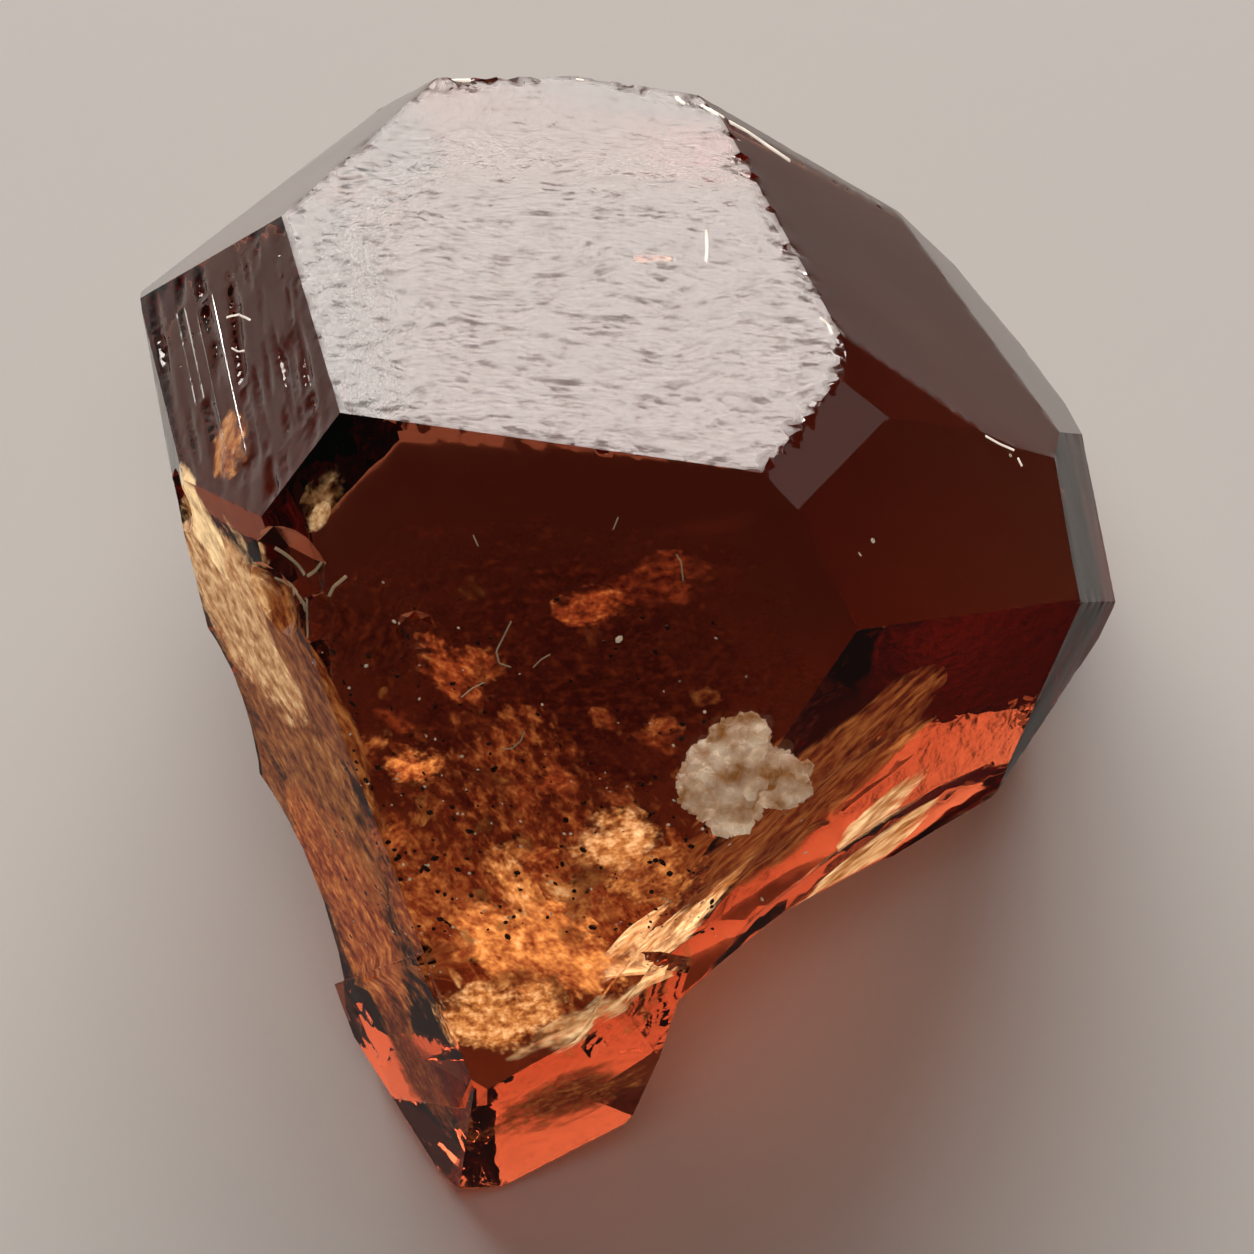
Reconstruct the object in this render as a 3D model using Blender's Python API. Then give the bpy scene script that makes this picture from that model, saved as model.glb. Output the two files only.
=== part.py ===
"""Imperial topaz crystal: a stout, many-faced crystal with a broken foot, lying on its flat back.

Lengths are in metres and +Z is up. The crystal is one solid. Every flat face is given by the way it looks
(bearing and rise of its outward normal) and by how far it is from the middle of the crystal. The foot, which
grew at the lower end, and the small cluster of clear grains on the front face are joined to it, and chips,
conchoidal breaks and the growth grooves are cut out of it.
"""
import math
import random

import bmesh
import bpy
from mathutils import Matrix, Vector

MM = 0.001

# The middle of the crystal, from which the distances of its faces are measured, in millimetres.
MIDDLE = Vector((0.0, 0.0, 8.0))
BLOCK_SIZE = 80.0

# Faces of the body: bearing of the outward normal in degrees (0 along +X, 90 along +Y), its rise above the
# horizontal in degrees, and the distance of the face from the middle in millimetres.
BODY_FACES = {
    "crown": (82.5, 61.0, 9.05),
    "crown_left_strip": (129.5, 22.5, 13.75),
    "grooved_left": (169.5, 38.5, 11.65),
    "front": (-99.5, 50.0, 6.25),
    "small_quad": (10.5, 53.5, 9.70),
    "dark_wedge": (28.0, 43.0, 10.05),
    "dark_right": (-6.0, 43.0, 9.15),
    "upper_right": (40.5, 32.5, 10.15),
    "upper_right_rim": (49.5, 26.0, 11.40),
    "right_rim": (36.5, 19.0, 11.35),
    "right_sliver": (3.0, 36.0, 10.05),
    "right_strip": (7.5, 13.0, 11.30),
    "lower_right_rim": (-31.0, -0.5, 9.50),
    "lower_right": (-51.0, 14.5, 6.90),
    "left_flank": (-147.5, 12.5, 8.70),
    "lower_left": (-115.5, 10.5, 11.25),
    "lower_middle": (-71.5, 10.5, 9.20),
    "left_rim": (-172.0, 8.5, 11.10),
    "back_left": (92.5, 0.0, 13.85),
    "back_right": (79.5, -8.5, 12.80),
    "strip_back": (129.0, 8.0, 14.50),
    "rim_back_1": (58.5, 9.0, 13.20),
    "rim_back_2": (43.0, 8.0, 13.05),
    "rim_back_3": (33.5, 3.5, 13.10),
    "side_right": (13.5, -4.5, 12.80),
    "side_lower_right_1": (-25.5, -12.5, 11.00),
    "side_lower_right_2": (-35.5, -22.0, 10.10),
    "side_front_right": (-59.5, -30.0, 8.35),
    "side_left_1": (-169.0, -5.5, 10.20),
    "side_left_2": (-166.0, -20.0, 9.95),
    "under_back": (88.0, -33.0, 13.20),
    "under_back_left": (140.0, -32.0, 13.30),
    "under_left": (-175.0, -32.0, 9.70),
    "under_right": (8.0, -32.0, 12.90),
    "under_back_right": (50.0, -33.0, 13.60),
    "base": (0.0, -90.0, 8.00),
}

# Faces of the foot, which stands out below the front face.
FOOT_FACES = {
    "foot_left": (-145.5, 11.0, 9.00),
    "foot_right": (-71.5, 10.5, 9.00),
    "foot_top": (-99.5, 50.0, 6.05),
    "foot_side_left": (-151.0, -22.0, 11.95),
    "foot_root_left": (-174.0, -20.0, 9.60),
    "foot_shoulder": (-51.0, 14.5, 7.20),
    "foot_tip_left": (-107.0, -40.5, 14.50),
    "foot_tip_right": (-69.5, -37.5, 12.80),
    "foot_side_right": (-52.0, -35.5, 10.65),
    "foot_corner": (-19.5, -24.5, 5.90),
    "foot_root_right": (-3.0, -13.5, 2.10),
    "foot_inside": (90.0, 10.0, -8.30),
    "foot_base": (0.0, -90.0, 8.00),
}

# Long shallow breaks: middle on the surface (mm), bearing and rise of the long axis, bearing and rise of the
# way out of the crystal, radius across, how deep the break bites and how long it is (mm).
LONG_BREAKS = {
    "rim_scoop": ((4.2, -6.95, 5.4), (-59.5, 60.0), (-59.5, -30.0), 15.0, 0.45, 14.0),
    "ledge_upper": ((5.2, -4.6, 9.4), (38.0, -6.0), (-51.0, 14.5), 6.0, 0.20, 8.0),
    "ledge_middle": ((3.2, -6.6, 8.2), (36.0, -9.0), (-51.0, 13.0), 5.0, 0.26, 8.5),
    "ledge_lower": ((5.0, -5.8, 6.0), (39.0, -7.0), (-51.0, 2.0), 5.5, 0.30, 9.0),
    "ledge_root": ((1.0, -8.4, 7.4), (36.0, -14.0), (-55.0, 12.0), 3.0, 0.22, 4.0),
    "flank_upper": ((-10.1, -1.0, 7.9), (-166.0, 65.0), (-166.0, -25.0), 3.5, 0.30, 10.0),
    "flank_middle": ((-8.3, -4.9, 5.2), (-166.0, 65.0), (-166.0, -25.0), 6.0, 0.30, 10.0),
    "flank_lower": ((-7.3, -7.8, 1.9), (-166.0, 65.0), (-166.0, -25.0), 2.5, 0.28, 8.0),
    "under_hollow_left": ((-9.0, 6.0, 3.2), (-95.0, 4.0), (175.0, -40.0), 6.0, 0.45, 8.0),
    "under_hollow_back": ((3.0, 13.2, 2.6), (5.0, 6.0), (88.0, -40.0), 7.0, 0.50, 9.0),
    "under_hollow_right": ((6.5, -3.2, 2.0), (38.0, 3.0), (-50.0, -50.0), 6.0, 0.55, 9.0),
}
LONG_BREAK_SEGMENTS = 32
LONG_BREAK_RINGS = 24

# Round chips and pits: middle on the surface (mm), way out (bearing and rise), radius and bite (mm).
ROUND_BREAKS = {
    "corner_notch_upper": ((-8.2, -0.1, 14.4), (-125.0, 30.0), 1.4, 0.34),
    "corner_notch_lower": ((-7.6, -1.3, 14.1), (-125.0, 30.0), 1.2, 0.30),
    "corner_notch_side": ((-8.6, -0.5, 12.9), (-140.0, 20.0), 1.3, 0.26),
    "front_pit": ((-5.2, -1.8, 13.9), (-99.5, 50.0), 0.62, 0.28),
    "flank_chip": ((-10.9, 2.4, 11.2), (-170.0, 10.0), 1.1, 0.25),
}

# Worn rims: start and end of the edge (mm), number of chips and their least and greatest radius (mm).
WORN_RIMS = {
    "crown_to_quad": ((3.3, 1.3, 17.4), (5.2, 4.1, 15.7), 6, 0.35, 0.60),
    "crown_to_wedge": ((5.2, 4.1, 15.7), (5.3, 5.6, 14.9), 3, 0.30, 0.50),
    "crown_to_upper_right": ((5.3, 5.6, 14.9), (2.5, 12.4, 11.3), 9, 0.25, 0.50),
    "crown_top_right": ((2.3, 12.8, 11.2), (-1.2, 13.8, 10.8), 5, 0.30, 0.55),
    "crown_top_left": ((-1.2, 13.8, 10.8), (-5.1, 13.3, 11.4), 6, 0.30, 0.60),
}
RIM_CHIP_BITE = 0.45
RIM_SEED = 7

# Growth grooves on the grooved left face: where the first and the last begin (mm), which way they run, and
# their greatest length, width and depth (mm).
GROOVE_COUNT = 10
GROOVE_START = Vector((-11.6, 8.0, 10.4))
GROOVE_END = Vector((-8.5, 8.7, 14.2))
GROOVE_BEARING = -80.0
GROOVE_RISE = 25.0
GROOVE_LENGTH = 7.0
GROOVE_WIDTH = 0.30
GROOVE_DEPTH = 0.14
GROOVE_SEED = 3

# Grains of clear crystal grown on the edge of the front face: middle, half sizes and turn of each (mm, degrees).
GRAINS = {
    "grain_main": ((2.55, -5.05, 12.5), (1.05, 0.85, 0.80), 20.0),
    "grain_top": ((2.75, -4.45, 13.1), (0.65, 0.55, 0.50), 55.0),
    "grain_right": ((3.70, -5.00, 12.0), (0.72, 0.60, 0.55), -15.0),
    "grain_left": ((1.85, -5.50, 12.5), (0.55, 0.50, 0.48), 70.0),
    "grain_low": ((2.60, -5.85, 12.0), (0.60, 0.50, 0.45), 35.0),
}
GRAIN_ROUGHNESS = 0.16
GRAIN_SEED = 11

TOPAZ_COLOUR = (0.42, 0.10, 0.03, 1.0)
TOPAZ_ROUGHNESS = 0.05
TOPAZ_IOR = 1.62


def direction(bearing, rise):
    """Unit vector that looks along a bearing and rises above the horizontal, both in degrees."""
    flat = math.cos(math.radians(rise))
    return Vector((flat * math.cos(math.radians(bearing)), flat * math.sin(math.radians(bearing)),
                   math.sin(math.radians(rise))))


def clear_scene():
    """Remove every object that is already in the file."""
    for item in list(bpy.data.objects):
        bpy.data.objects.remove(item, do_unlink=True)


def add_object(name, shape, collection):
    """Make an object of a bmesh given in millimetres."""
    bmesh.ops.scale(shape, vec=(MM, MM, MM), verts=shape.verts)
    bmesh.ops.recalc_face_normals(shape, faces=shape.faces)
    mesh = bpy.data.meshes.new(name)
    shape.to_mesh(mesh)
    shape.free()
    item = bpy.data.objects.new(name, mesh)
    collection.objects.link(item)
    return item


def cut_block(faces):
    """A large block, cut to one convex crystal by a list of flat faces."""
    shape = bmesh.new()
    bmesh.ops.create_cube(shape, size=BLOCK_SIZE, matrix=Matrix.Translation(MIDDLE))
    for bearing, rise, distance in faces.values():
        outward = direction(bearing, rise)
        cut = bmesh.ops.bisect_plane(shape, geom=shape.verts[:] + shape.edges[:] + shape.faces[:],
                                     plane_co=MIDDLE + outward * distance, plane_no=outward, clear_outer=True)
        rim = [part for part in cut["geom_cut"] if isinstance(part, bmesh.types.BMEdge)]
        if rim:
            bmesh.ops.edgeloop_fill(shape, edges=rim)
    return shape


def long_break(point, axis, outward, radius, bite, length):
    """A stretched ball that takes a long hollow, shallower towards its ends, out of the surface."""
    stretch = length / 2 / math.sqrt(radius ** 2 - (radius - bite) ** 2)
    shape = bmesh.new()
    bmesh.ops.create_uvsphere(shape, u_segments=LONG_BREAK_SEGMENTS, v_segments=LONG_BREAK_RINGS, radius=radius)
    bmesh.ops.scale(shape, vec=(1.0, 1.0, stretch), verts=shape.verts)
    turn = direction(*axis).to_track_quat("Z", "Y").to_matrix().to_4x4()
    middle = Vector(point) + direction(*outward) * (radius - bite)
    bmesh.ops.transform(shape, matrix=Matrix.Translation(middle) @ turn, verts=shape.verts)
    return shape


def round_break(point, outward, radius, bite):
    """A ball that takes a round chip or pit out of the surface."""
    shape = bmesh.new()
    bmesh.ops.create_icosphere(shape, subdivisions=2, radius=radius)
    middle = Vector(point) + outward * (radius - bite)
    bmesh.ops.translate(shape, vec=middle, verts=shape.verts)
    return shape


def rim_chips(start, end, count, least, greatest, dice):
    """Small angular chips in uneven places along an edge."""
    for index in range(count):
        along = (index + dice.uniform(0.15, 0.85)) / count
        place = Vector(start).lerp(Vector(end), along)
        outward = (place - MIDDLE).normalized()
        radius = dice.uniform(least, greatest)
        shape = bmesh.new()
        bmesh.ops.create_icosphere(shape, subdivisions=1, radius=radius)
        size = (dice.uniform(0.8, 1.5), dice.uniform(0.8, 1.3), dice.uniform(0.7, 1.1))
        bmesh.ops.scale(shape, vec=size, verts=shape.verts)
        turn = Matrix.Rotation(dice.uniform(0.0, math.tau), 3, "Z")
        bmesh.ops.rotate(shape, cent=(0.0, 0.0, 0.0), matrix=turn, verts=shape.verts)
        bmesh.ops.translate(shape, vec=place + outward * radius * (1.0 - RIM_CHIP_BITE), verts=shape.verts)
        yield shape


def growth_grooves(dice):
    """V-shaped grooves that run side by side down the grooved face."""
    outward = direction(*BODY_FACES["grooved_left"][:2])
    along = direction(GROOVE_BEARING, GROOVE_RISE)
    along = (along - outward * along.dot(outward)).normalized()
    across = outward.cross(along)
    for index in range(GROOVE_COUNT):
        place = GROOVE_START.lerp(GROOVE_END, (index + dice.uniform(0.2, 0.8)) / GROOVE_COUNT)
        length = GROOVE_LENGTH * dice.uniform(0.45, 1.0)
        depth = GROOVE_DEPTH * dice.uniform(0.6, 1.2)
        width = GROOVE_WIDTH * dice.uniform(0.7, 1.3)
        place += along * (GROOVE_LENGTH - length) * dice.uniform(0.0, 0.8)
        shape = bmesh.new()
        bmesh.ops.create_cube(shape, size=1.0)
        tilt = Matrix((across * width, along * length, outward * width)).transposed().to_4x4()
        spin = Matrix.Rotation(math.radians(45.0), 4, "Y")
        middle = place + along * length / 2 + outward * (width * math.sqrt(0.5) - depth)
        bmesh.ops.transform(shape, matrix=Matrix.Translation(middle) @ tilt @ spin, verts=shape.verts)
        yield shape


def grain(place, half_sizes, turn, dice):
    """One rough lump of clear crystal."""
    shape = bmesh.new()
    bmesh.ops.create_icosphere(shape, subdivisions=2, radius=1.0)
    for vertex in shape.verts:
        vertex.co *= 1.0 + dice.uniform(-GRAIN_ROUGHNESS, GRAIN_ROUGHNESS)
    bmesh.ops.scale(shape, vec=half_sizes, verts=shape.verts)
    bmesh.ops.rotate(shape, cent=(0.0, 0.0, 0.0), matrix=Matrix.Rotation(math.radians(turn), 3, "Z"),
                     verts=shape.verts)
    bmesh.ops.translate(shape, vec=place, verts=shape.verts)
    return shape


def hide_tool(item):
    """Mark an object as a cutter or a joined lump that is not a piece of its own."""
    item.hide_render = True
    item.display_type = "WIRE"


def new_group(name):
    """A collection linked to the scene."""
    group = bpy.data.collections.new(name)
    bpy.context.scene.collection.children.link(group)
    return group


def add_grown_lumps():
    """The foot and the grains, which are joined to the body."""
    group = new_group("grown_on")
    hide_tool(add_object("foot", cut_block(FOOT_FACES), group))
    dice = random.Random(GRAIN_SEED)
    for name, (place, half_sizes, turn) in GRAINS.items():
        hide_tool(add_object(name, grain(place, half_sizes, turn, dice), group))
    return group


def add_breaks():
    """Every chip, break and groove, which are cut out of the body."""
    group = new_group("breaks")
    for name, values in LONG_BREAKS.items():
        hide_tool(add_object(name, long_break(*values), group))
    for name, (point, outward, radius, bite) in ROUND_BREAKS.items():
        hide_tool(add_object(name, round_break(point, direction(*outward), radius, bite), group))
    dice = random.Random(RIM_SEED)
    for name, values in WORN_RIMS.items():
        for index, shape in enumerate(rim_chips(*values, dice)):
            hide_tool(add_object(f"{name}_{index}", shape, group))
    for index, shape in enumerate(growth_grooves(random.Random(GROOVE_SEED))):
        hide_tool(add_object(f"groove_{index}", shape, group))
    return group


def combine(item, operation, group):
    """Join a group of solids to an object, or cut them out of it."""
    modifier = item.modifiers.new(operation.lower(), "BOOLEAN")
    modifier.operation = operation
    modifier.solver = "EXACT"
    modifier.operand_type = "COLLECTION"
    modifier.collection = group


def topaz_material():
    """Clear orange-brown topaz."""
    material = bpy.data.materials.new("imperial_topaz")
    material.use_nodes = True
    shader = material.node_tree.nodes["Principled BSDF"]
    shader.inputs["Base Color"].default_value = TOPAZ_COLOUR
    shader.inputs["Roughness"].default_value = TOPAZ_ROUGHNESS
    shader.inputs["Metallic"].default_value = 0.0
    shader.inputs["IOR"].default_value = TOPAZ_IOR
    shader.inputs["Transmission Weight"].default_value = 1.0
    return material


def stand_on_origin(item):
    """Move the crystal so that the middle of its box, at the bottom, is at the origin."""
    bpy.context.view_layer.update()
    finished = item.evaluated_get(bpy.context.evaluated_depsgraph_get())
    corners = [item.matrix_world @ vertex.co for vertex in finished.data.vertices]
    low = Vector(min(corner[axis] for corner in corners) for axis in range(3))
    high = Vector(max(corner[axis] for corner in corners) for axis in range(3))
    frame = bpy.data.objects.new("crystal_frame", None)
    bpy.context.scene.collection.objects.link(frame)
    for other in list(bpy.data.objects):
        if other is not frame:
            other.parent = frame
    frame.location = (-(low.x + high.x) / 2, -(low.y + high.y) / 2, -low.z)
    bpy.context.view_layer.update()


def main():
    """Build the crystal."""
    clear_scene()
    crystal = add_object("topaz_crystal", cut_block(BODY_FACES), bpy.context.scene.collection)
    crystal.data.materials.append(topaz_material())
    combine(crystal, "DIFFERENCE", add_breaks())
    combine(crystal, "UNION", add_grown_lumps())
    stand_on_origin(crystal)


main()
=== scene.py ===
# Looks of an imperial topaz crystal lying on a pale floor: its skin, its grains and what is sealed inside it.
import logging
import math
import random
from dataclasses import dataclass, field
from enum import Enum

import bmesh
import bpy
from mathutils import Matrix, Vector, kdtree, noise
from mathutils.bvhtree import BVHTree


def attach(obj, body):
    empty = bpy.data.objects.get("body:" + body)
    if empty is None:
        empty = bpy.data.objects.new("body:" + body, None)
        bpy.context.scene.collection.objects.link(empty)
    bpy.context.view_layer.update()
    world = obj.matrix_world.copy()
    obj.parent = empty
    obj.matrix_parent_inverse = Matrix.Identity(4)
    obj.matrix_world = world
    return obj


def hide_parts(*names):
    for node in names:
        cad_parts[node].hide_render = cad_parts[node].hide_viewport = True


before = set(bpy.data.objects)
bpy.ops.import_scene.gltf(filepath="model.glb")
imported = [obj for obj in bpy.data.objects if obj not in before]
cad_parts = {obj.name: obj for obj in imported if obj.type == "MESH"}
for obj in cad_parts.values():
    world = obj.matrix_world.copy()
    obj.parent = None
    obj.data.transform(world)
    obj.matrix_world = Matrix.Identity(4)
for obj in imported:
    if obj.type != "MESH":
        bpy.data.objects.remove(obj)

LOG = logging.getLogger("topaz")
MM = 0.001                      # the script's sizes are in millimetres and its meshes in metres
NODE = "topaz_crystal"
BODY = "root"


class Face(Enum):
    """Faces that have a look of their own, by the bearing and rise of their outward way, in degrees."""

    CROWN = (82.5, 61.0)
    GROOVED_LEFT = (169.5, 38.5)
    FRONT = (-99.5, 50.0)
    SMALL_QUAD = (10.5, 53.5)
    DARK_WEDGE = (28.0, 43.0)
    DARK_RIGHT = (-6.0, 43.0)
    UPPER_RIGHT = (40.5, 32.5)
    LOWER_RIGHT = (-51.0, 14.5)
    LEFT_FLANK = (-147.5, 12.5)
    FOOT_LEFT = (-145.5, 11.0)
    FOOT_RIGHT = (-71.5, 10.5)
    BASE = (0.0, -90.0)
    GROWTH = (0.0, 90.0)
    BROKEN = (180.0, 90.0)

    def outward(self) -> Vector:
        """Return the unit vector that points out of the face."""
        return toward(*self.value)


def toward(bearing: float, rise: float) -> Vector:
    """Turn a bearing and a rise into a direction.

    Args:
        bearing: Degrees from +X towards +Y.
        rise: Degrees above the level.

    Returns:
        A unit vector.
    """
    flat = math.cos(math.radians(rise))
    turn = math.radians(bearing)
    return Vector((flat * math.cos(turn), flat * math.sin(turn), math.sin(math.radians(rise))))


def linear(hex_colour: str) -> tuple[float, float, float, float]:
    """Turn an sRGB hex colour into the linear colour that the shaders take.

    Args:
        hex_colour: Six hex digits after a hash mark.

    Returns:
        Red, green, blue and an alpha of one.
    """
    parts = [int(hex_colour[place:place + 2], 16) / 255 for place in (1, 3, 5)]
    red, green, blue = [c / 12.92 if c <= 0.04045 else ((c + 0.055) / 1.055) ** 2.4 for c in parts]
    return red, green, blue, 1.0


def add_node(tree: bpy.types.NodeTree, kind: str, inputs: dict, **settings) -> bpy.types.Node:
    """Add a shader node, set it up and link it.

    Args:
        tree: The tree that takes the node.
        kind: The node's type name.
        inputs: For each input's name or number, a value or the output socket that feeds it.
        **settings: The node's own properties.

    Returns:
        The new node.
    """
    node = tree.nodes.new(kind)
    for name, value in settings.items():
        setattr(node, name, value)
    for name, value in inputs.items():
        if isinstance(value, bpy.types.NodeSocket):
            tree.links.new(value, node.inputs[name])
        else:
            node.inputs[name].default_value = value
    return node


def smoothstep(value: float) -> float:
    """Ease a value from 0 to 1 with level ends."""
    value = min(1.0, max(0.0, value))
    return value * value * (3 - 2 * value)


def finished(name: str, bm: bmesh.types.BMesh, material: bpy.types.Material) -> bpy.types.Object:
    """Make an object of a finished mesh, riding on the crystal's body.

    Args:
        name: The piece's name.
        bm: The mesh, with its place in it; it is freed.
        material: The piece's finish.

    Returns:
        The new object, at the origin, unturned and unscaled.
    """
    mesh = bpy.data.meshes.new(name)
    bm.to_mesh(mesh)
    bm.free()
    mesh.materials.append(material)
    piece = bpy.data.objects.new(name, mesh)
    bpy.context.scene.collection.objects.link(piece)
    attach(piece, BODY)
    LOG.info("%s: %d faces", name, len(mesh.polygons))
    return piece


@dataclass(frozen=True)
class Sight:
    """The camera's place, and what a pixel of the photograph looks at.

    Attributes:
        pixels: Width of the photograph, in pixels.
        frame_width: Width of what the camera sees at its target, in mm.
        target: The point that the camera looks at, in mm.
        elevation: The camera's height above the level, in degrees.
        distance: The camera's distance from its target, in mm.
    """

    pixels: float = 1254.0
    frame_width: float = 31.35
    target: Vector = field(default_factory=lambda: Vector((-0.064, -0.691, 8.56)))
    elevation: float = 72.0
    distance: float = 435.0

    @property
    def back(self) -> Vector:
        """The direction from the target to the camera."""
        return toward(-90.0, self.elevation)

    @property
    def up(self) -> Vector:
        """The direction of the picture's upper side."""
        return toward(90.0, 90.0 - self.elevation)

    def ray(self, pixel: tuple[float, float]) -> tuple[Vector, Vector]:
        """Return where a pixel's line of sight starts, in mm, and its direction."""
        scale = self.frame_width / self.pixels
        eye = self.target + self.back * self.distance
        seen = self.target + Vector((1, 0, 0)) * (pixel[0] - self.pixels / 2) * scale
        seen += self.up * (self.pixels / 2 - pixel[1]) * scale
        return eye, (seen - eye).normalized()


class Inside:
    """The inside of the crystal: finds its surface and keeps what is sealed in it under the skin."""

    def __init__(self, sight: Sight) -> None:
        """Read the solid's surface from the frame.

        Args:
            sight: The camera's place.
        """
        self.sight = sight
        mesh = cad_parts[NODE].data
        corners = [vert.co / MM for vert in mesh.vertices]
        self.surface = BVHTree.FromPolygons(corners, [tuple(face.vertices) for face in mesh.polygons])

    def seen(self, pixel: tuple[float, float]) -> tuple[Vector | None, Vector | None]:
        """Return the surface point, in mm, and the outward direction at a pixel, or None twice."""
        point, normal, _, _ = self.surface.ray_cast(*self.sight.ray(pixel))
        return point, normal

    def keep(self, point: Vector, margin: float) -> Vector:
        """Move a point, in mm, at least a margin under the surface."""
        near, normal, _, _ = self.surface.find_nearest(point)
        if (point - near).dot(normal) > -margin:
            return near - normal * margin
        return point


@dataclass(frozen=True)
class TopazFinish:
    """Imperial topaz: clear orange-brown fluorine aluminium silicate, deeper in colour where it is thicker.

    Its grown faces are glassy, its crown is etched to a satin that shows broad sheen, and its breaks are
    rippled.
    The absorption was chosen to match the photograph, and isn't a measured value of topaz.
    """

    name: str = "topaz, grown and broken faces"
    ior: float = 1.62
    absorption: str = "#E09B58"
    density: float = 174.0
    polish: float = 0.0
    etched_roughness: float = 0.26
    worn_roughness: float = 0.22
    broken_roughness: float = 0.06
    etch_per_metre: float = 1900.0
    etch_depth: float = 0.04

    def build(self) -> bpy.types.Material:
        """Build the material.

        Returns:
            The topaz material.
        """
        material = bpy.data.materials.new(self.name)
        material.use_nodes = True
        tree = material.node_tree
        tree.nodes.clear()
        place = add_node(tree, "ShaderNodeTexCoord", {}).outputs["Object"]
        etched = add_node(tree, "ShaderNodeAttribute", {}, attribute_name="etched").outputs["Fac"]
        worn = add_node(tree, "ShaderNodeAttribute", {}, attribute_name="worn").outputs["Fac"]
        broken = add_node(tree, "ShaderNodeAttribute", {}, attribute_name="broken").outputs["Fac"]

        rough = add_node(tree, "ShaderNodeMath", {0: etched, 1: self.etched_roughness, 2: self.polish},
                         operation="MULTIPLY_ADD").outputs[0]
        rough = add_node(tree, "ShaderNodeMath", {0: worn, 1: self.worn_roughness, 2: rough},
                         operation="MULTIPLY_ADD").outputs[0]
        rough = add_node(tree, "ShaderNodeMath", {0: broken, 1: self.broken_roughness, 2: rough},
                         operation="MULTIPLY_ADD").outputs[0]

        grain = add_node(tree, "ShaderNodeTexNoise", {"Vector": place, "Scale": self.etch_per_metre,
                                                      "Detail": 3.0, "Roughness": 0.62})
        relief = add_node(tree, "ShaderNodeMath", {0: grain.outputs["Fac"], 1: etched}, operation="MULTIPLY")
        bump = add_node(tree, "ShaderNodeBump", {"Strength": 1.0, "Distance": self.etch_depth * MM,
                                                 "Height": relief.outputs[0]})
        body = add_node(tree, "ShaderNodeBsdfPrincipled", {
            "Base Color": (1.0, 1.0, 1.0, 1.0), "Roughness": rough, "IOR": self.ior,
            "Transmission Weight": 1.0, "Normal": bump.outputs["Normal"]}, distribution="GGX")
        volume = add_node(tree, "ShaderNodeVolumeAbsorption", {"Color": linear(self.absorption),
                                                               "Density": self.density})
        add_node(tree, "ShaderNodeOutputMaterial", {"Surface": body.outputs[0], "Volume": volume.outputs[0]})
        return material


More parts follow.
